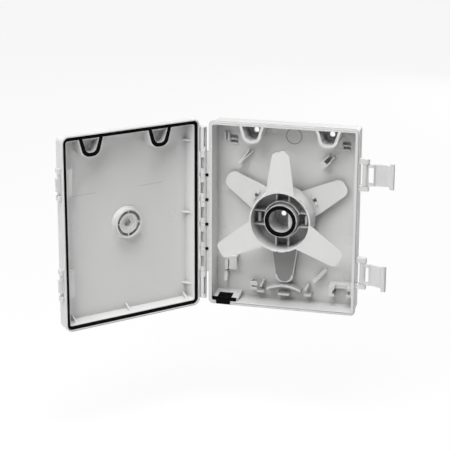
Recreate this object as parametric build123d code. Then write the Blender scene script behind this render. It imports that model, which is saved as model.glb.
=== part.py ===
"""Wall-mounted fibre distribution box, lid hinged open, with a finned fibre storage drum.

Frame: the origin is the middle of the rear wall face, +Z is up, the box opens towards -Y.
The lid is modelled closed and then swung open about its hinge.
"""
import os

from build123d import *

# Base housing
BASE_W = 148.4
BASE_H = 187.0
BASE_D = 25.5
BASE_FLOOR = 3.2
BASE_DRAFT = 2.4
BASE_CORNER = 4.5
FLANGE_D = 4.0
FLANGE_PROUD = 0.8
INSIDE_CORNER = 2.0
INSIDE_DRAFT = 1.5
RIM_W = 3.7
RIM_STEP_W = 1.2
RIM_STEP_D = 1.7

# Lid and its seal
LID_OVERHANG = 1.25
LID_HOLLOW = 13.0
LID_SKIN = 2.0
LID_DRAFT = 6.0
LID_CORNER = 6.0
LID_EDGE_ROUND = 2.5
LID_RIM_DROP = 1.4
SEAL_INSET = 1.7
SEAL_W = 3.6
SEAL_D = 2.2
SEAL_LIP = 0.5
SEAL_GAP = 0.3
SEAL_PROUD = 0.2
SEAL_CORNER = 4.0
LID_CLEAR = 0.4
HOLLOW_CORNER = 3.0
POCKET_WALL = 1.1
POCKET_FLOOR = 1.0

# Small ribs and pads in the lid: places as a share of the half width or height of the hollow
SIDE_RIBS = (0.815, 0.003, -0.821)
END_RIBS = (-0.917, 0.024, 0.882)
RIB_REACH = 6.5
LID_RIB_T = 1.6
LID_RIB_FOOT = 0.6
SIDE_RIB_H = 12.0
END_RIB_H = 12.0
PAD_REACH = 7.0
PAD_H = 9.0
PAD_W = 26.0

# Boss in the lid over the centre tube
BOSS_R = 14.5
BOSS_WALL = 1.6
BOSS_BORE_FLOOR = 0.6
BOSS_FLARE = 2.0
BOSS_FLARE_D = 2.4
BOSS_FLARE_DRAFT = 35.0
DISC_R = 10.0
DISC_DROP = 1.4
DISC_STEPS = (7.2, 5.6)
DISC_STEP_D = 0.9
HEX_SINK = 0.8
HEX_R = 4.1
SPOKE_W = 1.1
SPOKE_D = 2.0

# Hinge
LID_OPEN = 130.7
HINGE_OUT = 5.4
HINGE_BACK = 1.9
BARREL_R = 3.3
PIN_R = 1.15
PIN_PLAY = 0.05
WINDOW_W = 3.2
WINDOW_L = 11.4
END_SLOT_W = 1.8
END_SLOT_L = 18.6
END_SLOT_AT = 14.5
KNUCKLE_L = 22.1
KNUCKLE_GAP = 3.0
HINGE_RAISE = 0.8
KNUCKLES = 5
SIDE_PLAY = 0.3
END_BARREL_LOW_L = 27.2
END_BARREL_TOP_L = 24.6
LEAF_ROOT = 1.2
LEAF_HIGH = 7.0
LEAF_LOW = 1.9
WEB_D = 3.8
WEB_DROP = 1.8
POCKET_D = 2.8

# Storage drum, and the tube that carries it
AXIS_Z = -0.7
DRUM_R = 30.3
DRUM_WALL = 1.5
DRUM_FRONT = 9.6
DRUM_REAR = 16.6
FIN_R = 68.7
FIN_ROOT_W = 28.0
FIN_TIP_W = 16.0
FIN_T = 1.7
FRONT_FINS = (90.0, 210.0, 330.0)
REAR_FINS = (30.0, 148.0, 270.0)
CLIP_ANGLES = (31.5, 146.5)
FRONT_FIN_CORNER = 5.0
REAR_FIN_CORNER = 7.7
COLLAR_R = 18.6
COLLAR_WALL = 1.2
COLLAR_FRONT = -1.0
SEAT_T = 1.2
TUBE_R = 16.2
TUBE_BORE_R = 12.2
TUBE_FRONT = 6.1
TUBE_STEP = 2.2
TUBE_LEDGE = 0.7
TUBE_FLAT = 7.4
TUBE_FLOOR = 0.2
DRUM_FIT = 0.15
RING_R = 13.7
RING_W = 3.6
RING_T = 2.8
RING_EDGE = 0.3
RING_PROUD = 0.7
RIB_X = 6.2
RIB_T = 1.4
RIB_DROP = 3.5
HOOK_OUT = 4.4
HOOK_T = 1.4
HOOK_W = 9.4
HOOK_BARB = 1.2
HOOK_FRONT = 5.0
HOOK_SLOT = 12.4
CLIP_R = 34.5
CLIP_GAP = 3.6
CLIP_L = 10.8
CLIP_W = 1.7
CLIP_H = 1.5
NUB_X = 2.3
NUB_W = 5.0
NUB_H = 1.6
NOTCH_ANGLES = (250.0, 266.0, 284.0, 31.0, 48.0)
NOTCH_W = 2.2
NOTCH_D = 1.6

# Fixing holes and screw wells
SCREW_X = (-31.2, 44.0)
SCREW_Z = 82.4
SCREW_R = 2.75
WELL_TOP_W = 24.6
WELL_LOW_W = 15.0
WELL_LOW_Z = 73.4
WELL_ROUND = 7.8
WELL_WALL = 2.4
WELL_FLOOR = 2.0
BORE_STEPS = (1.6, 2.3)
BORE_STEP_D = 0.8
CENTRE_HOLE_R = 2.5
CENTRE_HOLE_X = -3.2

# Latches
LATCH_Z = (49.4, -49.0)
LATCH_OPEN = (2.0, 28.0)
LATCH_OUT = 6.2
LATCH_BACK = 2.0
LATCH_BARREL_R = 2.7
LATCH_PIN_R = 1.2
LATCH_REACH = 28.4
LATCH_W = 21.2
LATCH_T = 1.8
LATCH_WINDOW = 14.4
LATCH_WINDOW_X = 5.6
LATCH_WINDOW_L = 4.8
# Bends of the latch: inner side from the barrel, tip back from the reach, outer side to the barrel
LATCH_INNER = ((10.2, 0.6), (20.8, 0.9), (23.4, -0.9))
LATCH_TIP = ((1.2, -2.4), (0.0, -1.0), (0.6, 1.2))
LATCH_OUTER = ((24.2, 2.4), (20.2, 3.0), (9.0, 2.6))
LATCH_ARM_INNER = 8.6
LATCH_ARM_OUTER = 7.6
LIP_IN = 2.4
LIP_DROP = 0.6
LIP_L = 4.6
LIP_T = 3.4
LIP_PAST = 2.0
LIP_ROUND = 1.2
EAR_T = 4.8
EAR_OUT = 10.0
EAR_BACK = 1.4
EAR_WALL = 1.3
EAR_ROUND = 1.8
CATCH_OUT = 4.6
CATCH_ROOT = 1.6
CATCH_DROP = 4.6
CATCH_T = 2.6
CATCH_W = 13.2
CATCH_LIP = 1.6
CATCH_FLOOR = 0.9
CATCH_END = 2.0
STOP_AT = 13.2
STOP_W = 4.8
STOP_D = 6.0
STOP_OUT = 2.4

# Cable entry, with a top that falls towards the front
GROMMET_IN = 15.5
GROMMET_W = 14.6
GROMMET_D = 15.5
GROMMET_SINK = 0.5
GROMMET_FLANGE_W = 25.0
GROMMET_FLANGE_T = 2.8
GROMMET_FLANGE_LOW = 2.0
GROMMET_FLANGE_TOP = 6.9
DISH_R = 7.0
DISH_D = 2.0
HOLDER_W = 27.0
HOLDER_BACK_Z = 9.6
HOLDER_FRONT_Z = 6.4
HOLDER_FRONT = 4.4

# Spare cable entry at the lower right
SPARE_LEFT_IN = 28.2
SPARE_RIGHT_IN = 3.0
SPARE_BACK_Z = 27.4
SPARE_FRONT_Z = 24.7
SPARE_LOW_Z = 14.9
SPARE_D = 11.0
SPARE_WALL = 3.6
SPARE_FOOT = 5.4
SPARE_FOOT_T = 2.6
SPARE_ROOF = 2.8

# Guides on the floor: blades as x, z of both ends, thickness, height at the first and second end
BLADES = (
    (-46.8, 50.2, -37.6, 62.4, 1.4, 9.5, 4.0),
    (-45.8, 50.4, -33.8, 62.0, 1.4, 9.5, 4.0),
    (35.4, 51.6, 39.4, 55.4, 6.4, 9.5, 9.5),
    (34.9, 54.8, 42.4, 62.4, 1.4, 9.5, 4.0),
    (40.6, 52.0, 47.0, 60.8, 1.4, 9.5, 4.0),
    (30.5, -65.8, 41.2, -54.0, 3.4, 10.0, 5.0),
    (-23.9, -75.6, -21.2, -70.2, 1.8, 9.0, 7.0),
    (21.8, -75.2, 24.8, -69.6, 1.8, 9.0, 7.0),
)
# Upright pads as x and z range, and height
PADS = (
    (-62.5, -61.3, 71.0, 79.0, 4.0),
    (-58.8, -57.6, 71.0, 79.0, 4.0),
    (-27.2, -20.5, -82.0, -80.0, 8.0),
    (21.1, 27.7, -82.0, -79.9, 8.0),
    (-5.6, 5.6, -82.4, -80.8, 9.6),
    (-34.0, -32.8, -79.6, -71.1, 8.5),
    (-55.6, -54.2, -59.5, -46.0, 10.3),
    (-55.6, -48.1, -47.4, -46.0, 10.3),
)
# Thin plates held off the floor as x and z range, and height of the front and back face
PLATES = (
    (-55.6, -48.1, -59.5, -46.0, 10.3, 8.7),
    (-34.0, -27.1, -75.1, -71.1, 8.5, 6.8),
    (-34.0, -27.1, -79.6, -76.9, 8.5, 6.8),
)
TIE_ANCHORS = ((-53.5, 72.3), (58.5, 72.3))
TIE_W = 7.6
TIE_T = 1.0
TIE_H = 2.6
TIE_DROP = 4.2
TIE_POCKET = 2.2
ARCH_W = 34.5
ARCH_FOOT_Z = -78.0
ARCH_RISE = 4.3
ARCH_T = 2.3
ARCH_D = 10.5
PEGS = ((-59.2, -55.9), (-59.7, -67.8))
PEG_R = 1.6
PEG_L = 6.4
PEG_D = 8.0
KNOCKOUT_X = 6.3
KNOCKOUT_Z = 78.1
KNOCKOUT_R = 7.7
KNOCKOUT_W = 0.6

RIM_Y = -BASE_D
FLOOR_Y = -BASE_FLOOR
HINGE_X = -BASE_W / 2 - HINGE_OUT
HINGE_Y = RIM_Y + HINGE_BACK
LATCH_X = BASE_W / 2 + LATCH_OUT
LATCH_Y = RIM_Y + LATCH_BACK
LID_W = BASE_W + 2 * LID_OVERHANG
LID_H = BASE_H + 2 * LID_OVERHANG
LID_LIP_Y = RIM_Y + LID_RIM_DROP
LID_FLOOR_Y = RIM_Y - LID_HOLLOW
LID_FRONT_Y = LID_FLOOR_Y - LID_SKIN
SEAL_RECT_W = BASE_W - 2 * SEAL_INSET
SEAL_RECT_H = BASE_H - 2 * SEAL_INSET
MIDDLE_L = KNUCKLES * KNUCKLE_L + (KNUCKLES - 1) * KNUCKLE_GAP
BOTTOM_Z = -BASE_H / 2
INSIDE_BOTTOM = BOTTOM_Z + RIM_W
GROMMET_X = -BASE_W / 2 + GROMMET_IN


def front_plane(y):
    """Sketch plane at depth y that looks out of the box, with local x along X and local y along Z."""
    return Plane(origin=(0, y, 0), x_dir=(1, 0, 0), z_dir=(0, -1, 0))


def block(x0, x1, y0, y1, z0, z1):
    """Box between two corners."""
    return Pos((x0 + x1) / 2, (y0 + y1) / 2, (z0 + z1) / 2) * Box(x1 - x0, y1 - y0, z1 - z0)


def post(x, z, r, y_back, y_front):
    """Round bar along Y, from y_back forward to y_front."""
    return extrude(front_plane(y_back) * Pos(x, z) * Circle(r), amount=y_back - y_front)


def rod(x, y, r, z0, z1):
    """Round bar along Z."""
    return Pos(x, y, (z0 + z1) / 2) * Cylinder(r, z1 - z0)


def tray(width, height, corner, y_from, depth, draft):
    """Rounded rectangular block from y_from backwards, narrower at the far end by the draft."""
    plane = Plane(origin=(0, y_from, 0), x_dir=(1, 0, 0), z_dir=(0, 1, 0))
    sheet = plane * RectangleRounded(width, height, corner)
    return extrude(sheet, amount=depth, taper=draft)


def crown(width, height, corner, y_from, depth, draft):
    """Rounded rectangular block from y_from towards the front, narrower at the far end."""
    sheet = front_plane(y_from) * RectangleRounded(width, height, corner)
    return extrude(sheet, amount=depth, taper=draft)


def blade(x0, z0, x1, z1, thick, y_back, y_root, y_tip):
    """Thin upright guide along a line, as deep as y_root at its first end and y_tip at its second."""
    run = Vector(x1 - x0, 0, z1 - z0)
    along = run.normalized()
    side = Vector(-along.Z, 0, along.X) * (thick / 2)
    start = Vector(x0, y_back, z0) - side
    corners = [start, start + run]
    corners.append(start + run + Vector(0, y_tip - y_back, 0))
    corners.append(start + Vector(0, y_root - y_back, 0))
    return extrude(make_face(Polyline(*corners, close=True)), amount=thick, dir=(side * 2).normalized())


def sloped(x0, x1, y_back, y_front, low, high_back, high_front):
    """Block whose top falls from the back to the front."""
    side = Polyline((x0, y_back, low), (x0, y_back, high_back), (x0, y_front, high_front), (x0, y_front, low),
                    close=True)
    return extrude(make_face(side), amount=x1 - x0, dir=(1, 0, 0))


def rim_step():
    """What is taken off the outer edge of the rim, where the lid's lip comes down."""
    step = tray(BASE_W + 2, BASE_H + 2, BASE_CORNER, RIM_Y - 1, 1 + RIM_STEP_D, 0)
    corner = SEAL_INSET + SEAL_CORNER - RIM_STEP_W
    keep = tray(BASE_W - 2 * RIM_STEP_W, BASE_H - 2 * RIM_STEP_W, corner, RIM_Y - 2, 3 + RIM_STEP_D, 0)
    return step - keep


def knuckle_spans():
    """Lower and upper end of each base knuckle along the hinge."""
    pitch = KNUCKLE_L + KNUCKLE_GAP
    return [(-MIDDLE_L / 2 + i * pitch, -MIDDLE_L / 2 + i * pitch + KNUCKLE_L) for i in range(KNUCKLES)]


def well_outline(x, grow):
    """Tapered U of a screw well, open at the top wall, grown outwards by grow."""
    top = BASE_H / 2 - RIM_W + 1.0
    low = WELL_LOW_Z - grow
    half_top = WELL_TOP_W / 2 + grow
    half_low = WELL_LOW_W / 2 + grow
    outline = Polyline((x - half_top, top), (x - half_low, low),
                       (x + half_low, low), (x + half_top, top), close=True)
    face = make_face(outline)
    return fillet(face.vertices().sort_by(Axis.Y)[:2], WELL_ROUND + grow)


def well_wall(x):
    """Wall and raised floor of one screw well."""
    outer = extrude(front_plane(FLOOR_Y + 0.5) * well_outline(x, 0), amount=BASE_D - BASE_FLOOR + 0.5)
    inner = extrude(front_plane(FLOOR_Y - WELL_FLOOR) * well_outline(x, -WELL_WALL), amount=BASE_D)
    return outer - inner


def screw_bore(x, z, r, front):
    """Through hole with two shallow counterbore steps in a floor at depth front."""
    bore = post(x, z, r, 1, front - 1)
    for count, ratio in enumerate(reversed(BORE_STEPS)):
        bore += post(x, z, r * ratio, front + (count + 1) * BORE_STEP_D, front - 1)
    return bore


def d_bore(radius, flat, y_back, y_front):
    """Round bore with one flat side at +X."""
    bore = post(0, AXIS_Z, radius, y_back, y_front)
    return bore - block(flat, radius + 1, y_front - 1, y_back + 1, AXIS_Z - radius - 1, AXIS_Z + radius + 1)


def centre_tube():
    """Tube that carries the drum and the sealing ring."""
    front = RIM_Y - TUBE_FRONT
    tube = post(0, AXIS_Z, TUBE_R, FLOOR_Y + 0.5, front)
    tube -= d_bore(TUBE_BORE_R - TUBE_LEDGE, TUBE_FLAT, FLOOR_Y - TUBE_FLOOR, front - 1)
    tube -= post(0, AXIS_Z, TUBE_BORE_R, front + TUBE_STEP, front - 1)
    groove = post(0, AXIS_Z, RING_R + RING_W / 2, front + RING_T - RING_PROUD, front - 1)
    groove -= post(0, AXIS_Z, RING_R - RING_W / 2, front + RING_T, front - 2)
    return tube - groove


def drum_hook(side):
    """Spring hook of the base that holds the drum's collar, on the left (-1) or right (+1)."""
    root = COLLAR_R + HOOK_OUT
    half = HOOK_W / 2
    stem = block(root, root + HOOK_T, RIM_Y + HOOK_FRONT, FLOOR_Y + 0.5, AXIS_Z - half, AXIS_Z + half)
    barb = Polyline((root, RIM_Y + HOOK_FRONT, AXIS_Z - half),
                    (root - HOOK_BARB, RIM_Y + HOOK_FRONT + HOOK_BARB, AXIS_Z - half),
                    (root, RIM_Y + HOOK_FRONT + 2 * HOOK_BARB, AXIS_Z - half), close=True)
    stem += extrude(make_face(barb), amount=HOOK_W, dir=(0, 0, 1))
    return mirror(stem, Plane.YZ) if side < 0 else stem


def hinge_knuckles():
    """Base side of the hinge: five windowed barrels on a web along the rim."""
    spans = knuckle_spans()
    web_y = RIM_Y + WEB_DROP
    web_left = HINGE_X + BARREL_R + LID_CLEAR
    leaf = block(web_left - 1, -BASE_W / 2 + FLANGE_PROUD, web_y, web_y + WEB_D, -MIDDLE_L / 2, MIDDLE_L / 2)
    for low, high in spans:
        leaf += rod(HINGE_X, HINGE_Y, BARREL_R, low, high)
        middle = (low + high) / 2
        leaf -= block(HINGE_X - WINDOW_W / 2, HINGE_X + WINDOW_W / 2, HINGE_Y - BARREL_R - 1, HINGE_Y,
                      middle - WINDOW_L / 2, middle + WINDOW_L / 2)
    for (_, low), (high, _) in zip(spans[:-1], spans[1:]):
        leaf -= block(HINGE_X - BARREL_R - 1, web_left,
                      HINGE_Y - 2 * BARREL_R, HINGE_Y + 2 * BARREL_R, low, high)
        leaf -= block(web_left - 1, -BASE_W / 2, web_y - 1, web_y + POCKET_D, low, high)
    return Pos(0, 0, HINGE_RAISE) * (leaf - rod(HINGE_X, HINGE_Y, PIN_R, -BASE_H, BASE_H))


def latch_ears(z):
    """Two ears on the right side wall that carry one latch pin, cut back where the lid's lip closes."""
    ears = None
    back = LATCH_Y + LATCH_BARREL_R + EAR_BACK
    front = LATCH_Y - LATCH_PIN_R - EAR_WALL
    for low in (z - LATCH_W / 2 - SIDE_PLAY - EAR_T, z + LATCH_W / 2 + SIDE_PLAY):
        ear = block(LID_W / 2 + LID_CLEAR, BASE_W / 2 + EAR_OUT, front, back, low, low + EAR_T)
        ear = fillet(ear.edges().filter_by(Axis.Z).group_by(Axis.X)[-1], EAR_ROUND)
        ear += block(BASE_W / 2 - 2 * FLANGE_PROUD, LID_W / 2 + EAR_OUT / 2, LID_LIP_Y + LID_CLEAR, back,
                     low, low + EAR_T)
        ears = ear if ears is None else ears + ear
    past_ears = LATCH_W / 2 + SIDE_PLAY + 2 * EAR_T
    return ears - rod(LATCH_X, LATCH_Y, LATCH_PIN_R, z - past_ears, z + past_ears)


def tie_anchor(x, z):
    """Pair of small bars that a cable tie threads behind."""
    bars = None
    left = x - TIE_W / 2
    right = x + TIE_W / 2
    front = FLOOR_Y - TIE_H
    for level in (z, z - TIE_DROP):
        low = level - TIE_T / 2
        high = level + TIE_T / 2
        bar = block(left, right, front, front + TIE_T, low, high)
        for end in (left, right - TIE_T):
            bar += block(end, end + TIE_T, front, FLOOR_Y + 0.5, low, high)
        bars = bar if bars is None else bars + bar
    return bars


def tie_pocket(x, z):
    """Two recesses in the floor, one above each bar of a tie anchor."""
    half = TIE_W / 2 - TIE_T / 2
    pockets = None
    for level in (z, z - TIE_DROP):
        pocket = block(x - half, x + half, FLOOR_Y - 1, FLOOR_Y + TIE_POCKET, level + TIE_T / 2,
                       level + TIE_DROP - TIE_T / 2)
        pockets = pocket if pockets is None else pockets + pocket
    return pockets


def cable_guides():
    """Guides moulded on the floor, each at its own place."""
    root = FLOOR_Y + 0.5
    guides = None
    for x0, z0, x1, z1, thick, first, second in BLADES:
        guide = blade(x0, z0, x1, z1, thick, root, FLOOR_Y - first, FLOOR_Y - second)
        guides = guide if guides is None else guides + guide
    for x0, x1, z0, z1, height in PADS:
        guides += block(x0, x1, FLOOR_Y - height, root, z0, z1)
    for x0, x1, z0, z1, front, back in PLATES:
        guides += block(x0, x1, FLOOR_Y - front, FLOOR_Y - back, z0, z1)
    for x, z in PEGS:
        peg = front_plane(root) * Pos(x, z) * Rot(0, 0, 90) * SlotOverall(PEG_L + 2 * PEG_R, 2 * PEG_R)
        guides += extrude(peg, amount=PEG_D)
    for x, z in TIE_ANCHORS:
        guides += tie_anchor(x, z)
    low = ThreePointArc((-ARCH_W / 2, ARCH_FOOT_Z), (0, ARCH_FOOT_Z + ARCH_RISE), (ARCH_W / 2, ARCH_FOOT_Z))
    high = ThreePointArc((ARCH_W / 2, ARCH_FOOT_Z + ARCH_T), (0, ARCH_FOOT_Z + ARCH_RISE + ARCH_T),
                         (-ARCH_W / 2, ARCH_FOOT_Z + ARCH_T))
    ends = [Line(low @ 1, high @ 0), Line(high @ 1, low @ 0)]
    arch = make_face([low, ends[0], high, ends[1]])
    return guides + extrude(front_plane(root) * arch, amount=ARCH_D)


def spare_entry():
    """Empty cable entry at the lower right: a channel with a notched top and two inward feet."""
    left = BASE_W / 2 - SPARE_LEFT_IN
    right = BASE_W / 2 - SPARE_RIGHT_IN
    low = BOTTOM_Z + SPARE_LOW_Z
    front = FLOOR_Y - SPARE_D
    roof = BOTTOM_Z + SPARE_FRONT_Z - SPARE_ROOF
    frame = sloped(left, right, FLOOR_Y + 0.5, front, low, BOTTOM_Z + SPARE_BACK_Z, BOTTOM_Z + SPARE_FRONT_Z)
    frame -= block(left + SPARE_WALL, right - SPARE_WALL, front - 1, FLOOR_Y, low + SPARE_FOOT_T, roof)
    notch_left = left + SPARE_FOOT
    notch_right = right - SPARE_FOOT - SPARE_WALL / 2
    frame -= block(notch_left, notch_right, front - 1, FLOOR_Y, low - 1, roof)
    frame -= block(notch_left, notch_right, front - 1, FLOOR_Y - SPARE_D / 2, roof - 1, roof + 2 * SPARE_ROOF)
    return frame


def holder_top(y):
    """Height of the grommet holder's sloping top at depth y."""
    front = RIM_Y + HOLDER_FRONT
    share = (y - front) / (FLOOR_Y - front)
    return BOTTOM_Z + HOLDER_FRONT_Z + share * (HOLDER_BACK_Z - HOLDER_FRONT_Z)


def grommet_holder():
    """Block on the floor and bottom wall that the cable grommet slides into."""
    left = GROMMET_X - HOLDER_W / 2 + 1
    front = RIM_Y + HOLDER_FRONT
    back = FLOOR_Y + 0.5
    return sloped(left, left + HOLDER_W, back, front, INSIDE_BOTTOM - 1, holder_top(back), holder_top(front))


def grommet_flange(top):
    """Wide front flange of the grommet, up to a given height."""
    half = GROMMET_FLANGE_W / 2
    front = RIM_Y + HOLDER_FRONT - GROMMET_FLANGE_T
    return block(GROMMET_X - half, GROMMET_X + half, front, front + GROMMET_FLANGE_T,
                 BOTTOM_Z + GROMMET_FLANGE_LOW, top)


def grommet_slot():
    """Slot in the base that takes the grommet, open at the top."""
    half = GROMMET_W / 2
    top = BOTTOM_Z + 2 * HOLDER_BACK_Z
    slot = block(GROMMET_X - half, GROMMET_X + half, RIM_Y - 1, RIM_Y + GROMMET_D, BOTTOM_Z - 1, top)
    return slot + grommet_flange(top)


def make_base():
    body = tray(BASE_W, BASE_H, BASE_CORNER, RIM_Y, FLANGE_D, 0)
    body += tray(BASE_W - 2 * FLANGE_PROUD, BASE_H - 2 * FLANGE_PROUD, BASE_CORNER - FLANGE_PROUD,
                 RIM_Y + 1, BASE_D - 1, BASE_DRAFT)
    body -= tray(BASE_W - 2 * RIM_W, BASE_H - 2 * RIM_W, INSIDE_CORNER, RIM_Y - 1, BASE_D + 1 - BASE_FLOOR,
                 INSIDE_DRAFT)
    body -= rim_step()
    for x in SCREW_X:
        body += well_wall(x)
    body += centre_tube()
    body += cable_guides()
    body += spare_entry()
    body += grommet_holder()
    for side in (-1, 1):
        body += drum_hook(side)
    for x in SCREW_X:
        body -= screw_bore(x, SCREW_Z, SCREW_R, FLOOR_Y - WELL_FLOOR)
    body -= screw_bore(CENTRE_HOLE_X, AXIS_Z, CENTRE_HOLE_R, FLOOR_Y - TUBE_FLOOR)
    for x, z in TIE_ANCHORS:
        body -= tie_pocket(x, z)
    outline = post(KNOCKOUT_X, KNOCKOUT_Z, KNOCKOUT_R, FLOOR_Y + KNOCKOUT_W, FLOOR_Y - 1)
    outline -= post(KNOCKOUT_X, KNOCKOUT_Z, KNOCKOUT_R - KNOCKOUT_W, FLOOR_Y + 1, FLOOR_Y - 2)
    body -= outline
    body -= grommet_slot()
    body += hinge_knuckles()
    for z in LATCH_Z:
        body += latch_ears(z)
    return body


def make_grommet():
    """Rubber cable grommet with a dished top and a wide front flange."""
    half = GROMMET_W / 2
    back = RIM_Y + GROMMET_D
    rubber = sloped(GROMMET_X - half, GROMMET_X + half, back, RIM_Y, BOTTOM_Z,
                    holder_top(back) - GROMMET_SINK, holder_top(RIM_Y) - GROMMET_SINK)
    rubber += grommet_flange(BOTTOM_Z + GROMMET_FLANGE_TOP)
    middle = RIM_Y + GROMMET_D / 2 + 1
    rubber -= Pos(GROMMET_X, middle, holder_top(middle) + DISH_R - DISH_D) * Sphere(DISH_R)
    return rubber - rim_step()


def fin(angle, y_front, corner):
    """One tapered retaining fin of the drum, with its front face at y_front."""
    outline = Polyline((DRUM_R - 3, -FIN_ROOT_W / 2), (FIN_R, -FIN_TIP_W / 2), (FIN_R, FIN_TIP_W / 2),
                       (DRUM_R - 3, FIN_ROOT_W / 2), close=True)
    face = make_face(outline)
    face = fillet(face.vertices().sort_by(Axis.X)[-2:], corner)
    return extrude(front_plane(y_front) * Pos(0, AXIS_Z) * Rot(0, 0, angle) * face, amount=-FIN_T)


def make_drum():
    """Fibre storage drum: ring, collar, floor, ribs and six staggered fins, as one moulding."""
    front = RIM_Y - DRUM_FRONT
    rear = RIM_Y + DRUM_REAR
    drum = post(0, AXIS_Z, DRUM_R, rear, front)
    for angle in FRONT_FINS:
        drum += fin(angle, front, FRONT_FIN_CORNER)
    for angle in REAR_FINS:
        drum += fin(angle, rear - FIN_T, REAR_FIN_CORNER)
    nub_z = AXIS_Z + FIN_R
    drum += block(NUB_X - NUB_W / 2, NUB_X + NUB_W / 2, front, front + FIN_T, nub_z - 2, nub_z + NUB_H)
    drum -= post(0, AXIS_Z, DRUM_R - DRUM_WALL, rear - FIN_T, front - 1)
    collar = post(0, AXIS_Z, COLLAR_R, rear, RIM_Y - COLLAR_FRONT)
    drum += collar
    reach = DRUM_R - DRUM_WALL / 2
    for x in (-RIB_X, RIB_X):
        drum += block(x - RIB_T / 2, x + RIB_T / 2, RIM_Y + RIB_DROP, rear, AXIS_Z - reach, AXIS_Z + reach)
    for z in (AXIS_Z - HOOK_SLOT / 2 - RIB_T, AXIS_Z + HOOK_SLOT / 2):
        drum += block(-reach, reach, RIM_Y + RIB_DROP, rear, z, z + RIB_T)
    drum -= post(0, AXIS_Z, COLLAR_R - COLLAR_WALL, rear + 1, front - 1)
    slot = block(COLLAR_R - 2, COLLAR_R + HOOK_OUT + HOOK_T + 1, RIM_Y - 1, rear + 1,
                 AXIS_Z - HOOK_SLOT / 2, AXIS_Z + HOOK_SLOT / 2)
    drum -= slot + mirror(slot, Plane.YZ)
    seat = post(0, AXIS_Z, COLLAR_R, rear, rear - SEAT_T)
    drum += seat - post(0, AXIS_Z, TUBE_R + DRUM_FIT, rear + 1, rear - SEAT_T - 1)
    clip = Pos(CLIP_R, 0) * (Rectangle(CLIP_W, CLIP_L) - Rectangle(2 * CLIP_W, CLIP_GAP))
    hole = Pos(CLIP_R, 0) * Rectangle(CLIP_GAP, CLIP_GAP)
    for angle in CLIP_ANGLES:
        place = Pos(0, AXIS_Z) * Rot(0, 0, angle)
        drum += extrude(front_plane(rear - FIN_T) * place * clip, amount=CLIP_H)
        drum -= extrude(front_plane(rear + 1) * place * hole, amount=FIN_T + 2)
    for angle in NOTCH_ANGLES:
        notch = Pos(0, AXIS_Z) * Rot(0, 0, angle) * Pos(DRUM_R, 0) * Rectangle(NOTCH_D, NOTCH_W)
        drum -= extrude(front_plane(front + NOTCH_D) * notch, amount=NOTCH_D + 1)
    return drum


def make_ring():
    """Sealing ring in the end of the tube."""
    front = RIM_Y - TUBE_FRONT
    ring = post(0, AXIS_Z, RING_R + RING_W / 2, front + RING_T - RING_PROUD, front - RING_PROUD)
    ring -= post(0, AXIS_Z, RING_R - RING_W / 2, front + RING_T, front - RING_T)
    return chamfer(ring.edges().filter_by(GeomType.CIRCLE).sort_by(Axis.Y)[:2], RING_EDGE)


def lid_swing(shape):
    """Carry a lid piece from closed to its open rest pose."""
    return Pos(HINGE_X, HINGE_Y, 0) * Rot(0, 0, -LID_OPEN) * Pos(-HINGE_X, -HINGE_Y, 0) * shape


def seal_band(width, y_from, depth):
    """Seal track of one width: a rounded frame with two loops under the screw wells."""
    plane = front_plane(y_from)
    outer = RectangleRounded(SEAL_RECT_W + width, SEAL_RECT_H + width, SEAL_CORNER + width / 2)
    inner = RectangleRounded(SEAL_RECT_W - width, SEAL_RECT_H - width, SEAL_CORNER - width / 2)
    track = outer - inner
    for x in SCREW_X:
        loop = well_outline(x, (width - WELL_WALL) / 2) - well_outline(x, -(width + WELL_WALL) / 2)
        track += loop & RectangleRounded(SEAL_RECT_W, SEAL_RECT_H, SEAL_CORNER)
    return extrude(plane * track, amount=depth)


def lid_boss():
    """Ring in the lid that bears on the sealing ring, with a spoked disc, and the disc's hexagon recess."""
    front = RIM_Y - TUBE_FRONT - RING_PROUD - SEAL_GAP
    back = LID_FLOOR_Y - 0.5
    bore = post(0, AXIS_Z, BOSS_R - BOSS_WALL, front + 1, LID_FLOOR_Y + BOSS_BORE_FLOOR)
    boss = post(0, AXIS_Z, BOSS_R, front, back)
    root = Plane(origin=(0, back, AXIS_Z), x_dir=(1, 0, 0), z_dir=(0, 1, 0)) * Circle(BOSS_R + BOSS_FLARE)
    boss += extrude(root, amount=BOSS_FLARE_D, taper=BOSS_FLARE_DRAFT)
    boss -= bore
    disc_front = front - DISC_DROP
    disc = post(0, AXIS_Z, DISC_R, disc_front, back)
    for level, radius in enumerate(DISC_STEPS):
        disc -= post(0, AXIS_Z, radius, front, disc_front - (level + 1) * DISC_STEP_D)
    hexagon = extrude(front_plane(front) * Pos(0, AXIS_Z) * RegularPolygon(HEX_R, 6), amount=LID_HOLLOW)
    cut = post(0, AXIS_Z, 2 * HEX_R, front, LID_FLOOR_Y - HEX_SINK)
    reach = BOSS_R - BOSS_WALL - DISC_R
    for angle in range(0, 360, 90):
        spoke = Pos(0, AXIS_Z) * Rot(0, 0, angle) * Pos(DISC_R + reach / 2, 0) * Rectangle(reach + 1, SPOKE_W)
        disc += extrude(front_plane(disc_front) * spoke, amount=SPOKE_D)
    return boss + disc, hexagon & cut


def lid_catch(z):
    """Catch bar for one latch, with a stop nub above and below it."""
    face = LID_W / 2
    wall = face - CATCH_ROOT
    out = face + CATCH_OUT
    near = LATCH_Y - CATCH_DROP
    half = CATCH_W / 2
    bar = block(wall, out, near - CATCH_T, near, z - half, z + half)
    bar -= block(face + LID_CLEAR, out - CATCH_LIP, near - 2 * CATCH_T, near - CATCH_FLOOR,
                 z - half + CATCH_END, z + half - CATCH_END)
    for centre in (z - STOP_AT, z + STOP_AT):
        bar += block(wall, face + STOP_OUT, near - STOP_D, near + 1, centre - STOP_W / 2, centre + STOP_W / 2)
    return bar


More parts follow.
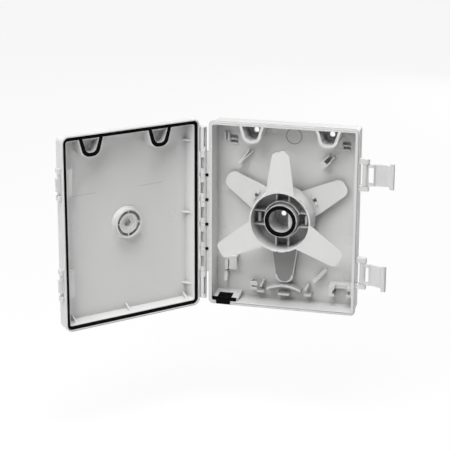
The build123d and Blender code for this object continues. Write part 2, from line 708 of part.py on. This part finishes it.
def lid_hinge():
    """Lid side of the hinge, closed: two long end barrels and a tab in each gap between knuckles."""
    spans = knuckle_spans()
    half = MIDDLE_L / 2 + SIDE_PLAY
    ranges = [(-half - END_BARREL_LOW_L, -half), (half, half + END_BARREL_TOP_L)]
    ranges += [(low + SIDE_PLAY, high - SIDE_PLAY) for (_, low), (high, _) in zip(spans[:-1], spans[1:])]
    parts = None
    for low, high in ranges:
        part = rod(HINGE_X, HINGE_Y, BARREL_R, low, high)
        part += block(HINGE_X - BARREL_R, -LID_W / 2 + LEAF_ROOT,
                      HINGE_Y - LEAF_HIGH, HINGE_Y - LEAF_LOW, low, high)
        parts = part if parts is None else parts + part
    return Pos(0, 0, HINGE_RAISE) * parts


def end_slots():
    """Narrow core slots in the open lid's end barrels."""
    slots = None
    for side in (-1, 1):
        middle = HINGE_RAISE + side * (MIDDLE_L / 2 + END_SLOT_AT)
        slot = block(HINGE_X + PIN_R, HINGE_X + PIN_R + END_SLOT_W,
                     HINGE_Y - BARREL_R - 1, HINGE_Y - PIN_PLAY,
                     middle - END_SLOT_L / 2, middle + END_SLOT_L / 2)
        slots = slot if slots is None else slots + slot
    return slots


def lid_ribs(hollow_w, hollow_h):
    """Small gusset ribs along the left wall and both end walls of the lid, and pads by the latches."""
    half_w = hollow_w / 2
    half_h = hollow_h / 2
    root = LID_FLOOR_Y - 0.5
    foot = LID_FLOOR_Y + LID_RIB_FOOT
    ribs = None
    for share in SIDE_RIBS:
        z = share * half_h
        rib = blade(-half_w - 1, z, -half_w + RIB_REACH, z, LID_RIB_T, root, LID_FLOOR_Y + SIDE_RIB_H, foot)
        ribs = rib if ribs is None else ribs + rib
    for share in END_RIBS:
        x = share * half_w
        ribs += blade(x, -half_h - 1, x, -half_h + RIB_REACH, LID_RIB_T, root, LID_FLOOR_Y + END_RIB_H, foot)
    for z in LATCH_Z:
        ribs += block(half_w - PAD_REACH, half_w + 1, root, LID_FLOOR_Y + PAD_H, z - PAD_W / 2, z + PAD_W / 2)
    return ribs


def make_lid():
    shell = crown(LID_W, LID_H, LID_CORNER, LID_LIP_Y, LID_LIP_Y - LID_FRONT_Y, LID_DRAFT)
    shell = fillet(shell.faces().sort_by(Axis.Y)[0].edges(), LID_EDGE_ROUND)
    hollow_w = SEAL_RECT_W - SEAL_W - 2 * SEAL_LIP
    hollow_h = SEAL_RECT_H - SEAL_W - 2 * SEAL_LIP
    mouth = RIM_Y + 2
    hollow = crown(hollow_w, hollow_h, HOLLOW_CORNER, mouth, mouth - LID_FLOOR_Y, LID_DRAFT)
    for x in SCREW_X:
        hollow -= extrude(front_plane(mouth + 1) * well_outline(x, SEAL_W / 2), amount=LID_HOLLOW + 4)
    shell -= hollow
    trim = crown(hollow_w, hollow_h, HOLLOW_CORNER, mouth + 2, LID_HOLLOW, LID_DRAFT)
    for x in SCREW_X:
        dent = front_plane(mouth + 1) * well_outline(x, -POCKET_WALL - SEAL_W / 2 - SEAL_LIP)
        shell -= extrude(dent, amount=mouth + 1 - LID_FLOOR_Y - POCKET_FLOOR) & trim
    back = RIM_Y + 4
    shell -= crown(SEAL_RECT_W + SEAL_W, SEAL_RECT_H + SEAL_W, SEAL_CORNER + SEAL_W / 2, back,
                   back - RIM_Y + SEAL_GAP + SEAL_PROUD, 0)
    boss, recess = lid_boss()
    shell += boss
    shell -= recess
    shell += lid_ribs(hollow_w, hollow_h)
    for z in LATCH_Z:
        shell += lid_catch(z)
    shell += lid_hinge()
    shell -= seal_band(SEAL_W, RIM_Y + 1, 1 + SEAL_GAP + SEAL_D)
    shell -= rod(HINGE_X, HINGE_Y, PIN_R + PIN_PLAY, -BASE_H, BASE_H)
    return lid_swing(shell) - end_slots()


def make_gasket():
    """One-piece rubber seal in the lid's groove."""
    return lid_swing(seal_band(SEAL_W, RIM_Y - SEAL_GAP, SEAL_D))


def latch_profile():
    """Side profile of a latch, pointing along +X, with its inner side towards -Y."""
    half = LATCH_T / 2
    bends = [(0, -half), (LATCH_ARM_INNER, -half), *LATCH_INNER]
    bends += [(LATCH_REACH - back, y) for back, y in LATCH_TIP]
    bends += [*LATCH_OUTER, (LATCH_ARM_OUTER, half), (0, half)]
    outline = Polyline(*bends, close=True)
    return make_face(outline)


def make_latch(index):
    """One-piece latch: barrel, two arms round a window, curved paddle and finger lip."""
    z = LATCH_Z[index]
    plate = extrude(Pos(0, 0, -LATCH_W / 2) * latch_profile(), amount=LATCH_W)
    lip = Pos(LATCH_REACH - LIP_IN, -LIP_DROP, 0) * Box(LIP_L, LIP_T, LATCH_W + 2 * LIP_PAST)
    plate += fillet(lip.edges().filter_by(Axis.Z), LIP_ROUND)
    plate -= Pos(LATCH_WINDOW_X, 0, 0) * Box(LATCH_WINDOW_L, 4 * LATCH_T, LATCH_WINDOW)
    plate += rod(0, 0, LATCH_BARREL_R, -LATCH_W / 2, LATCH_W / 2)
    plate -= rod(0, 0, LATCH_PIN_R + PIN_PLAY, -LATCH_W, LATCH_W)
    return Pos(LATCH_X, LATCH_Y, z) * Rot(0, 0, -LATCH_OPEN[index]) * plate


def make_latch_pin(z):
    half = LATCH_W / 2 + SIDE_PLAY + EAR_T
    return rod(LATCH_X, LATCH_Y, LATCH_PIN_R, z - half, z + half)


def make_hinge_pin():
    half = MIDDLE_L / 2 + SIDE_PLAY
    return rod(HINGE_X, HINGE_Y, PIN_R,
               HINGE_RAISE - half - END_BARREL_LOW_L, HINGE_RAISE + half + END_BARREL_TOP_L)


def save(shape, name):
    export_step(shape, os.path.join("parts", name + ".step"))


def main():
    os.makedirs("parts", exist_ok=True)
    save(make_base(), "base_housing")
    save(make_drum(), "storage_drum")
    save(make_ring(), "sealing_ring")
    save(make_grommet(), "cable_grommet")
    save(make_hinge_pin(), "hinge_pin")
    save(make_lid(), "lid")
    save(make_gasket(), "lid_gasket")
    for index, side in enumerate(("upper", "lower")):
        save(make_latch(index), "latch_" + side)
        save(make_latch_pin(LATCH_Z[index]), "latch_pin_" + side)


main()
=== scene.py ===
"""Looks of the wall-mounted fibre distribution box: camera, lights, moulded plastic and rubber."""
import math

import bpy
from mathutils import Matrix, Vector


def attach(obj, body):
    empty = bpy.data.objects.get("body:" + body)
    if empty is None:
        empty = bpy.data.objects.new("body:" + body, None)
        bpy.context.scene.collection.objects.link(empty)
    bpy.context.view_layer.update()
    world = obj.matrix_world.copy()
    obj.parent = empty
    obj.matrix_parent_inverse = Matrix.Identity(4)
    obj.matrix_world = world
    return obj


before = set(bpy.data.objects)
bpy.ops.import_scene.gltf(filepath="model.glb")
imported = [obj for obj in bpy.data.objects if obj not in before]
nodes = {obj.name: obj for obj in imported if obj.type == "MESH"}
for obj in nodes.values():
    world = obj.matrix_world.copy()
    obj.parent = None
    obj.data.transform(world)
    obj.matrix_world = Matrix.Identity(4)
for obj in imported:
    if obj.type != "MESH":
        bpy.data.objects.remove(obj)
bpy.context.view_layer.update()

# Camera of the photograph, fitted to the box's rim and seal lines
CAMERA_AT = (0.30113, -1.37615, 0.39260)
CAMERA_TURN = math.radians(-14.85)
CAMERA_DOWN = math.radians(16.09)
CAMERA_ROLL = math.radians(0.245)
LENS_MM = 118.17
SENSOR_MM = 36.0
CLIP_NEAR = 0.05
CLIP_FAR = 20.0

# Soft square lights that face the box: name, place, size in metres and power in watts
LIGHTS = (
    ("key", (-0.35, -1.05, 1.15), 1.0, 15.5),
    ("top", (0.05, -0.40, 1.50), 0.7, 14.0),
    ("left", (-1.50, -0.90, 0.40), 0.8, 3.0),
    ("back", (0.30, 1.70, 0.45), 1.0, 7.0),
)
LIGHT_TARGET = (0.0, 0.0, 0.0)

# White surroundings: dim as a light, full where they are seen, mirrored or looked through
WHITE = (1.0, 1.0, 1.0, 1.0)
DIM_STRENGTH = 0.05
SEEN_STRENGTH = 1.0

# Pale floor that keeps the shadow and glows for the larger part where it is seen
FLOOR_Z = -0.20
FLOOR_HALF = 6.0
FLOOR_COLOUR = (0.9, 0.9, 0.9, 1.0)
FLOOR_GLOW = 1.02
FLOOR_GLOW_SHARE = 0.9

# Noises of the moulded plastic and the rubber: scale and detail
FLOW_NOISE = (28.0, 3.0)
SPECK_NOISE = (900.0, 1.0)
GLOSS_NOISE = (140.0, 4.0)
GRAIN_NOISE = (2600.0, 2.0)
BLOOM_NOISE = (260.0, 5.0)
DULL_NOISE = (420.0, 3.0)
RUBBER_GRAIN_NOISE = (3200.0, 3.0)

# Bumps: strength and distance in metres
FLOW_BUMP = (0.25, 0.0006)
GRAIN_BUMP = (0.30, 0.00004)
MARK_BUMP = (0.8, 0.00012)
RUBBER_BUMP = (0.35, 0.00005)

# Moulded plastic: colours, then how flow and specks change tint and gloss
HOUSING_WHITE = (0.69, 0.69, 0.685)
LID_WHITE = (0.75, 0.75, 0.745)
DRUM_WHITE = (0.73, 0.73, 0.725)
LATCH_WHITE = (0.66, 0.66, 0.66)
PIN_WHITE = (0.74, 0.74, 0.735)
TINT_LIGHT = 1.012
TINT_DARK = 0.972
TINT_FROM = -0.2
TINT_TO = 1.0
PLASTIC_ROUGHNESS = (0.20, 0.40)
PLASTIC_IOR = 1.49
PLASTIC_SPECULAR = 0.42

# Painted shade in recesses: how far the shelter is felt, its range, and the painted shade in the deepest
# recess
RECESS_REACH = 0.014
RECESS_FROM = 0.1
RECESS_TO = 0.8
PAINTED_RECESS_SHADE = 0.62
DRUM_PAINTED_RECESS_SHADE = 0.50

# Painted highlight, edges are lighter: radius of the rounding, range of the turn's cosine, and gain
EDGE_R = 0.0007
EDGE_FROM = 0.6
EDGE_TO = 1.0
EDGE_HIGHLIGHT_GAIN = 1.30
RAY_SAMPLES = 6

# Rubber: colours without and with bloom, gloss
RUBBER_BLACK = (0.0015, 0.0015, 0.0016)
RUBBER_BLOOM = (0.005, 0.005, 0.0052)
RUBBER_ROUGHNESS = (0.48, 0.70)
RUBBER_SPECULAR = 0.04

# The lid's place at rest, for marks that are laid out with the lid closed
HINGE = (-0.0796, -0.0236)
LID_OPEN = math.radians(130.7)
COS_OPEN = math.cos(LID_OPEN)
SIN_OPEN = math.sin(LID_OPEN)
LID_ALONG = (COS_OPEN, -SIN_OPEN, 0.0)
LID_OUT = (SIN_OPEN, COS_OPEN, 0.0)
X_AXIS = (1.0, 0.0, 0.0)
Y_AXIS = (0.0, 1.0, 0.0)
Z_AXIS = (0.0, 0.0, 1.0)

# Rings that ejector pins leave on the inner faces: x, z and radius in millimetres, then the line in metres
BASE_PINS = (
    (-12.6, 83.1, 4.4),
    (24.9, 82.1, 3.4),
    (64.0, -21.7, 5.2),
    (63.5, -59.5, 5.2),
    (-64.1, 21.6, 4.4),
    (-62.9, -23.3, 4.8),
)
LID_PINS = ((-52.7, 0.4, 4.0), (57.3, 3.0, 4.0))
BASE_FLOOR_Y = -3.2
LID_FLOOR_Y = -38.5
PIN_LINE_W = 0.00035
PIN_LINE_D = 0.0010
PIN_SHADE = 0.86

# Round line of painted shade in the knock-out's groove in the back wall, all through it
KNOCK_OUT = ((0.0063, 0.0, 0.0781), Y_AXIS, 0.0077, 0.0007)
KNOCK_OUT_PAINTED_SHADE = 0.45

# Painted shade on the sides of the four knuckle gaps: places, half sizes in metres, shade
GAP_X = -0.0760
GAP_Y = -0.0235
GAP_Z = (-0.0364, -0.0113, 0.0138, 0.0389)
GAP_SIDES = ((X_AXIS, 0.00105), (Y_AXIS, 0.0055), (Z_AXIS, 0.0013))
GAP_PAINTED_SHADE = 0.02

# Painted shadow lines along the base's rim: height, half width and shade
RIM_LINE_Y = -0.0255
RIM_SHADOW_LINES = ((-0.09085, 0.00025, 0.55), (-0.0927, 0.0003, 0.55), (0.0916, 0.0002, 0.8))
RIM_LINE_HALF_L = 0.0700
RIM_LINE_HALF_D = 0.0006

# Two faint mould lines across the lid's floor, as middle and half length in millimetres
MOULD_LINES = ((-28.0, 14.0), (46.5, 13.5))
MOULD_LINE_Z = 33.5
MOULD_LINE_HALF_D = 0.0010
MOULD_LINE_HALF_W = 0.0002
MOULD_LINE_SHADE = 0.80

# One painted shadow line along the lower edge of the lid's rim, place in millimetres
LID_LINE_AT = (0.0, -33.5, -94.3)
LID_LINE_SIDES = ((LID_ALONG, 0.0700), (LID_OUT, 0.0120), (Z_AXIS, 0.0003))
LID_LINE_PAINTED_SHADOW = 0.55

# How softly boxes and shapes drawn in a material end
PATCH_SOFT = 0.00025

# Painted shadow on the drum's lowest fin: its axis height, taper, place of its rounded tip, and the plate
# it lies in
DRUM_Z = -0.0007
FIN_TAPER = 0.145
FIN_SIDE = 0.01706
FIN_ROOT_FROM = 0.0300
FIN_TIP_FROM = 0.0610
FIN_TIP_R = 0.0068
FIN_PLATE_Y = -0.00975
FIN_PLATE_HALF = 0.0012
FIN_PAINTED_SHADOW = 0.36

# Black strips of painted shade on the lid's barrel in the four knuckle gaps, round the hinge axis in
# degrees and metres
STRIP_Z = (-0.03670, -0.01160, 0.01350, 0.03860)
STRIP_R = 0.00325
STRIP_T = 0.00115
STRIP_FROM = -8.0
STRIP_TO = 50.0
STRIP_HALF_H = 0.0013
STRIP_STEPS = 12


def place_camera():
    level = math.cos(CAMERA_DOWN)
    ahead = Vector((
        math.sin(CAMERA_TURN) * level,
        math.cos(CAMERA_TURN) * level,
        -math.sin(CAMERA_DOWN),
    ))
    right = Vector((math.cos(CAMERA_TURN), -math.sin(CAMERA_TURN), 0.0))
    up = right.cross(ahead)
    tilted = right * math.cos(CAMERA_ROLL) + up * math.sin(CAMERA_ROLL)
    upright = up * math.cos(CAMERA_ROLL) - right * math.sin(CAMERA_ROLL)
    facing = Matrix((tilted, upright, -ahead)).transposed()
    data = bpy.data.cameras.new("photo_camera")
    data.lens = LENS_MM
    data.sensor_width = SENSOR_MM
    data.clip_start = CLIP_NEAR
    data.clip_end = CLIP_FAR
    camera = bpy.data.objects.new("photo_camera", data)
    camera.matrix_world = Matrix.Translation(CAMERA_AT) @ facing.to_4x4()
    bpy.context.scene.collection.objects.link(camera)
    bpy.context.scene.camera = camera


def soft_light(name, place, size, power):
    data = bpy.data.lights.new(name, "AREA")
    data.shape = "SQUARE"
    data.size = size
    data.energy = power
    lamp = bpy.data.objects.new(name, data)
    lamp.location = place
    lamp.rotation_mode = "QUATERNION"
    lamp.rotation_quaternion = (Vector(LIGHT_TARGET) - Vector(place)).to_track_quat("-Z", "Y")
    bpy.context.scene.collection.objects.link(lamp)


def add_math(tree, kind, first, second):
    step = tree.nodes.new("ShaderNodeMath")
    step.operation = kind
    tree.links.new(first, step.inputs[0])
    tree.links.new(second, step.inputs[1])
    return step.outputs[0]


def place_world():
    world = bpy.data.worlds.new("studio")
    bpy.context.scene.world = world
    world.use_nodes = True
    tree = world.node_tree
    tree.nodes.clear()
    out = tree.nodes.new("ShaderNodeOutputWorld")
    mix = tree.nodes.new("ShaderNodeMixShader")
    path = tree.nodes.new("ShaderNodeLightPath")
    backgrounds = []
    for strength in (DIM_STRENGTH, SEEN_STRENGTH):
        background = tree.nodes.new("ShaderNodeBackground")
        background.inputs["Color"].default_value = WHITE
        background.inputs["Strength"].default_value = strength
        backgrounds.append(background)
    seen = add_math(tree, "MAXIMUM", path.outputs["Is Camera Ray"], path.outputs["Is Glossy Ray"])
    seen = add_math(tree, "MAXIMUM", seen, path.outputs["Is Transmission Ray"])
    tree.links.new(seen, mix.inputs["Fac"])
    tree.links.new(backgrounds[0].outputs[0], mix.inputs[1])
    tree.links.new(backgrounds[1].outputs[0], mix.inputs[2])
    tree.links.new(mix.outputs[0], out.inputs["Surface"])


def floor_material():
    material = bpy.data.materials.new("floor_white")
    material.use_nodes = True
    tree = material.node_tree
    tree.nodes.clear()
    out = tree.nodes.new("ShaderNodeOutputMaterial")
    mix = tree.nodes.new("ShaderNodeMixShader")
    matt = tree.nodes.new("ShaderNodeBsdfDiffuse")
    glow = tree.nodes.new("ShaderNodeEmission")
    path = tree.nodes.new("ShaderNodeLightPath")
    matt.inputs["Color"].default_value = FLOOR_COLOUR
    glow.inputs["Color"].default_value = WHITE
    glow.inputs["Strength"].default_value = FLOOR_GLOW
    seen = add_math(tree, "MAXIMUM", path.outputs["Is Camera Ray"], path.outputs["Is Glossy Ray"])
    share = tree.nodes.new("ShaderNodeMath")
    share.operation = "MULTIPLY"
    share.inputs[1].default_value = FLOOR_GLOW_SHARE
    tree.links.new(seen, share.inputs[0])
    tree.links.new(share.outputs[0], mix.inputs["Fac"])
    tree.links.new(matt.outputs[0], mix.inputs[1])
    tree.links.new(glow.outputs[0], mix.inputs[2])
    tree.links.new(mix.outputs[0], out.inputs["Surface"])
    return material


def place_floor():
    turns = ((-1, -1), (1, -1), (1, 1), (-1, 1))
    corners = [(x * FLOOR_HALF, y * FLOOR_HALF, FLOOR_Z) for x, y in turns]
    mesh = bpy.data.meshes.new("floor")
    mesh.from_pydata(corners, [], [(0, 1, 2, 3)])
    mesh.materials.append(floor_material())
    floor = bpy.data.objects.new("floor", mesh)
    bpy.context.scene.collection.objects.link(floor)


class Shader:
    """Small helper that builds one material's node tree."""

    def __init__(self, name):
        self.material = bpy.data.materials.new(name)
        self.material.use_nodes = True
        self.tree = self.material.node_tree
        self.tree.nodes.clear()
        self.out = self.node("ShaderNodeOutputMaterial")
        self.bsdf = self.node("ShaderNodeBsdfPrincipled")
        self.link(self.bsdf.outputs[0], self.out.inputs["Surface"])
        self.place = self.node("ShaderNodeTexCoord").outputs["Object"]

    def node(self, kind):
        return self.tree.nodes.new(kind)

    def link(self, source, target):
        self.tree.links.new(source, target)

    def noise(self, scale, detail):
        noise = self.node("ShaderNodeTexNoise")
        noise.inputs["Scale"].default_value = scale
        noise.inputs["Detail"].default_value = detail
        self.link(self.place, noise.inputs["Vector"])
        return noise.outputs["Fac"]

    def span(self, source, low, high, start=0.0, end=1.0):
        """Carries the source's range from start to end over to low to high."""
        ranged = self.node("ShaderNodeMapRange")
        ranged.inputs["From Min"].default_value = start
        ranged.inputs["From Max"].default_value = end
        ranged.inputs["To Min"].default_value = low
        ranged.inputs["To Max"].default_value = high
        self.link(source, ranged.inputs["Value"])
        return ranged.outputs["Result"]

    def blend(self, factor, first, second):
        mix = self.node("ShaderNodeMix")
        mix.data_type = "RGBA"
        mix.inputs["A"].default_value = (*first, 1.0)
        mix.inputs["B"].default_value = (*second, 1.0)
        self.link(factor, mix.inputs["Factor"])
        return mix.outputs["Result"]

    def bump(self, height, strength, distance, under=None):
        bump = self.node("ShaderNodeBump")
        bump.inputs["Strength"].default_value = strength
        bump.inputs["Distance"].default_value = distance
        self.link(height, bump.inputs["Height"])
        if under is not None:
            self.link(under, bump.inputs["Normal"])
        return bump.outputs["Normal"]

    def math(self, kind, first, second=None):
        """A step on one or two numbers, each a fixed number or another step's result."""
        step = self.node("ShaderNodeMath")
        step.operation = kind
        for value, socket in ((first, step.inputs[0]), (second, step.inputs[1])):
            if isinstance(value, float):
                socket.default_value = value
            elif value is not None:
                self.link(value, socket)
        return step.outputs[0]

    def add(self, first, second):
        return self.math("ADD", first, second)

    def times(self, first, second):
        return self.math("MULTIPLY", first, second)

    def vector(self, kind, first, second=None, result="Vector"):
        """A step on one or two vectors, of which the second may be fixed."""
        step = self.node("ShaderNodeVectorMath")
        step.operation = kind
        self.link(first, step.inputs[0])
        if isinstance(second, tuple):
            step.inputs[1].default_value = second
        elif second is not None:
            self.link(second, step.inputs[1])
        return step.outputs[result]

    def dot(self, first, second):
        return self.vector("DOT_PRODUCT", first, second, "Value")

    def length(self, vector):
        return self.vector("LENGTH", vector, result="Value")

    def below(self, value, limit, soft=PATCH_SOFT):
        """1 where value is under limit, fading to 0 just above it."""
        near = self.node("ShaderNodeMapRange")
        near.interpolation_type = "SMOOTHSTEP"
        near.inputs["From Min"].default_value = limit + soft
        near.inputs["From Max"].default_value = limit
        self.link(value, near.inputs["Value"])
        return near.outputs["Result"]

    def ring(self, centre, axis_out, radius, width, deep=1.0):
        """1 on a thin circle round centre, square to axis_out and within deep of its plane, else 0."""
        shifted = self.vector("SUBTRACT", self.place, centre)
        along = self.vector("PROJECT", shifted, axis_out)
        reach = self.length(self.vector("SUBTRACT", shifted, along))
        off = self.math("ABSOLUTE", self.math("SUBTRACT", reach, radius))
        return self.times(self.below(off, 0.0, width), self.below(self.length(along), deep))

    def patch(self, centre, sides):
        """1 inside a box round centre whose half sizes lie along the given directions, else 0."""
        shifted = self.vector("SUBTRACT", self.place, centre)
        inside = None
        for direction, half in sides:
            near = self.below(self.math("ABSOLUTE", self.dot(shifted, direction)), half)
            inside = near if inside is None else self.times(inside, near)
        return inside

    def painted_fin_shadow_mask(self):
        """1 on the drum's lowest fin, inside its thin bright border, where its painted shadow goes."""
        split = self.node("ShaderNodeSeparateXYZ")
        self.link(self.place, split.inputs[0])
        aside = self.math("ABSOLUTE", split.outputs["X"])
        down = self.math("SUBTRACT", DRUM_Z, split.outputs["Z"])
        depth = self.math("ABSOLUTE", self.math("SUBTRACT", split.outputs["Y"], FIN_PLATE_Y))
        sides = self.below(self.add(aside, self.times(down, FIN_TAPER)), FIN_SIDE)
        past = self.math("MAXIMUM", self.math("SUBTRACT", down, FIN_TIP_FROM), 0.0)
        pair = self.node("ShaderNodeCombineXYZ")
        self.link(aside, pair.inputs["X"])
        self.link(past, pair.inputs["Y"])
        tip = self.below(self.length(pair.outputs[0]), FIN_TIP_R)
        past_root = self.below(self.times(down, -1.0), -FIN_ROOT_FROM)
        before_end = self.below(past, FIN_TIP_R)
        round_end = self.math("MAXIMUM", tip, self.below(down, FIN_TIP_FROM))
        on_plate = self.times(self.below(depth, FIN_PLATE_HALF), past_root)
        return self.times(self.times(sides, self.times(round_end, before_end)), on_plate)

    def edges(self):
        """Mask of the painted edge highlight: 0 on flat faces, rising towards 1 along the part's edges."""
        rounded = self.node("ShaderNodeBevel")
        rounded.samples = RAY_SAMPLES
        rounded.inputs["Radius"].default_value = EDGE_R
        true = self.node("ShaderNodeNewGeometry")
        turn = self.dot(rounded.outputs["Normal"], true.outputs["Normal"])
        return self.span(turn, 1.0, 0.0, EDGE_FROM, EDGE_TO)

    def painted_recess_shade_mask(self):
        """Shelter for the painted recess shade: 0 deep in a recess and 1 on open faces."""
        shelter = self.node("ShaderNodeAmbientOcclusion")
        shelter.samples = RAY_SAMPLES
        shelter.inputs["Distance"].default_value = RECESS_REACH
        return shelter.outputs["AO"]

    def scaled(self, colour, factor):
        product = self.node("ShaderNodeVectorMath")
        product.operation = "SCALE"
        self.link(colour, product.inputs[0])
        self.link(factor, product.inputs["Scale"])
        return product.outputs[0]

    def shaded(self, colour, mask, shade):
        """The colour, times shade where the mask is 1."""
        return self.scaled(colour, self.span(mask, 1.0, shade))


def moulded(name, tone, marks=(), lines=(), patches=(), recess=PAINTED_RECESS_SHADE, painted_fin_shadow=False):
    """Off-white moulded plastic with a fine spark-eroded grain, slight flow shading and pin marks, painted
    shade in recesses and a painted highlight along edges.
    """
    s = Shader(name)
    flow = s.noise(*FLOW_NOISE)
    speck = s.noise(*SPECK_NOISE)
    light = tuple(value * TINT_LIGHT for value in tone)
    dark = tuple(value * TINT_DARK for value in tone)
    colour = s.blend(s.span(s.add(flow, speck), TINT_FROM, TINT_TO), dark, light)
    # Painted shade: the colour darkens in recesses
    colour = s.scaled(colour, s.span(s.painted_recess_shade_mask(), recess, 1.0, RECESS_FROM, RECESS_TO))
    # Painted shade in the knock-out's groove; the pin rings' lines are darker too
    for mark, shade in lines:
        colour = s.shaded(colour, s.ring(*mark), shade)
    # Painted shade in the knuckle gaps and painted shadow lines along the rims, with the faint mould lines
    for centre, sides, shade in patches:
        colour = s.shaded(colour, s.patch(centre, sides), shade)
    # Painted shadow on the drum's lowest fin
    if painted_fin_shadow:
        colour = s.shaded(colour, s.painted_fin_shadow_mask(), FIN_PAINTED_SHADOW)
    # Painted highlight: the colour is lighter along edges
    colour = s.shaded(colour, s.edges(), EDGE_HIGHLIGHT_GAIN)
    s.link(colour, s.bsdf.inputs["Base Color"])
    gloss = s.add(s.noise(*GLOSS_NOISE), flow)
    s.link(s.span(gloss, *PLASTIC_ROUGHNESS), s.bsdf.inputs["Roughness"])
    s.bsdf.inputs["IOR"].default_value = PLASTIC_IOR
    s.bsdf.inputs["Specular IOR Level"].default_value = PLASTIC_SPECULAR
    normal = s.bump(flow, *FLOW_BUMP)
    normal = s.bump(s.noise(*GRAIN_NOISE), *GRAIN_BUMP, normal)
    if marks:
        rings = s.ring(*marks[0])
        for mark in marks[1:]:
            rings = s.add(rings, s.ring(*mark))
        normal = s.bump(rings, *MARK_BUMP, normal)
    s.link(normal, s.bsdf.inputs["Normal"])
    return s.material


def rubber(name):
    """Matt black rubber with a faint dusty bloom and a fine grain."""
    s = Shader(name)
    s.link(s.blend(s.noise(*BLOOM_NOISE), RUBBER_BLACK, RUBBER_BLOOM), s.bsdf.inputs["Base Color"])
    s.link(s.span(s.noise(*DULL_NOISE), *RUBBER_ROUGHNESS), s.bsdf.inputs["Roughness"])
    s.bsdf.inputs["Specular IOR Level"].default_value = RUBBER_SPECULAR
    s.link(s.bump(s.noise(*RUBBER_GRAIN_NOISE), *RUBBER_BUMP), s.bsdf.inputs["Normal"])
    return s.material


def on_open_lid(x, y, z):
    """A point laid out with the lid closed, in millimetres, carried to the open lid, in metres."""
    dx = x / 1000 - HINGE[0]
    dy = y / 1000 - HINGE[1]
    turned_x = COS_OPEN * dx + SIN_OPEN * dy
    turned_y = COS_OPEN * dy - SIN_OPEN * dx
    return (HINGE[0] + turned_x, HINGE[1] + turned_y, z / 1000)


def housing_plastic():
    marks = []
    for x, z, radius in BASE_PINS:
        centre = (x / 1000, BASE_FLOOR_Y / 1000, z / 1000)
        marks.append((centre, Y_AXIS, radius / 1000, PIN_LINE_W, PIN_LINE_D))
    # Painted shade along the knock-out's groove
    lines = [(KNOCK_OUT, KNOCK_OUT_PAINTED_SHADE)] + [(mark, PIN_SHADE) for mark in marks]
    # Painted shade in the four knuckle gaps
    patches = [((GAP_X, GAP_Y, z), GAP_SIDES, GAP_PAINTED_SHADE) for z in GAP_Z]
    # Painted shadow lines along the base's rim
    for z, half_w, shade in RIM_SHADOW_LINES:
        sides = ((X_AXIS, RIM_LINE_HALF_L), (Y_AXIS, RIM_LINE_HALF_D), (Z_AXIS, half_w))
        patches.append(((0.0, RIM_LINE_Y, z), sides, shade))
    return moulded("housing_plastic", HOUSING_WHITE, marks, lines, patches)


def lid_plastic():
    marks = []
    for x, z, radius in LID_PINS:
        centre = on_open_lid(x, LID_FLOOR_Y, z)
        marks.append((centre, LID_OUT, radius / 1000, PIN_LINE_W, PIN_LINE_D))
    lines = [(mark, PIN_SHADE) for mark in marks]
    patches = []
    for x, half_l in MOULD_LINES:
        sides = ((LID_ALONG, half_l / 1000), (LID_OUT, MOULD_LINE_HALF_D), (Z_AXIS, MOULD_LINE_HALF_W))
        patches.append((on_open_lid(x, LID_FLOOR_Y, MOULD_LINE_Z), sides, MOULD_LINE_SHADE))
    # Painted shadow line along the lower edge of the lid's rim
    patches.append((on_open_lid(*LID_LINE_AT), LID_LINE_SIDES, LID_LINE_PAINTED_SHADOW))
    # Painted shade in the four knuckle gaps
    patches += [((GAP_X, GAP_Y, z), GAP_SIDES, GAP_PAINTED_SHADE) for z in GAP_Z]
    return moulded("lid_plastic", LID_WHITE, marks, lines, patches)


def dress():
    latch = moulded("latch_plastic", LATCH_WHITE)
    pin = moulded("pin_plastic", PIN_WHITE)
    seal = rubber("seal_rubber")
    look = {
        "base_housing": housing_plastic(),
        "lid": lid_plastic(),
        # The drum gets deeper painted recess shade and the painted shadow on its lowest fin
        "storage_drum": moulded("drum_plastic", DRUM_WHITE, recess=DRUM_PAINTED_RECESS_SHADE, painted_fin_shadow=True),
        "latch_upper": latch,
        "latch_lower": latch,
        "hinge_pin": pin,
        "latch_pin_upper": pin,
        "latch_pin_lower": pin,
        "sealing_ring": seal,
        "lid_gasket": seal,
        "cable_grommet": seal,
    }
    for name, material in look.items():
        piece = nodes[name]
        piece.data.materials.clear()
        piece.data.materials.append(material)
    return seal


def hinge_gap_shade_strips(material):
    """Thin black strips on the lid's barrel, painted shade in the four knuckle gaps, which show black."""
    points = []
    faces = []
    for z in STRIP_Z:
        first = len(points)
        for step in range(STRIP_STEPS + 1):
            angle = math.radians(STRIP_FROM + (STRIP_TO - STRIP_FROM) * step / STRIP_STEPS)
            for radius in (STRIP_R, STRIP_R + STRIP_T):
                x = HINGE[0] + radius * math.cos(angle)
                y = HINGE[1] + radius * math.sin(angle)
                points += [(x, y, z - STRIP_HALF_H), (x, y, z + STRIP_HALF_H)]
        for a in range(first, first + 4 * STRIP_STEPS, 4):
            b = a + 4
            faces += [(a, a + 1, b + 1, b), (a + 2, b + 2, b + 3, a + 3)]
            faces += [(a, b, b + 2, a + 2), (a + 1, a + 3, b + 3, b + 1)]
        last = first + 4 * STRIP_STEPS
        faces += [(first, first + 2, first + 3, first + 1), (last, last + 1, last + 3, last + 2)]
    mesh = bpy.data.meshes.new("hinge_gap_shade_strips")
    mesh.from_pydata(points, [], faces)
    mesh.materials.append(material)
    strips = bpy.data.objects.new("hinge_gap_shade_strips", mesh)
    bpy.context.scene.collection.objects.link(strips)
    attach(strips, "lid")


place_camera()
for light in LIGHTS:
    soft_light(*light)
place_world()
place_floor()
# Black strips of painted shade in the knuckle gaps, riding on the lid
hinge_gap_shade_strips(dress())
bpy.context.scene.view_settings.view_transform = "Standard"
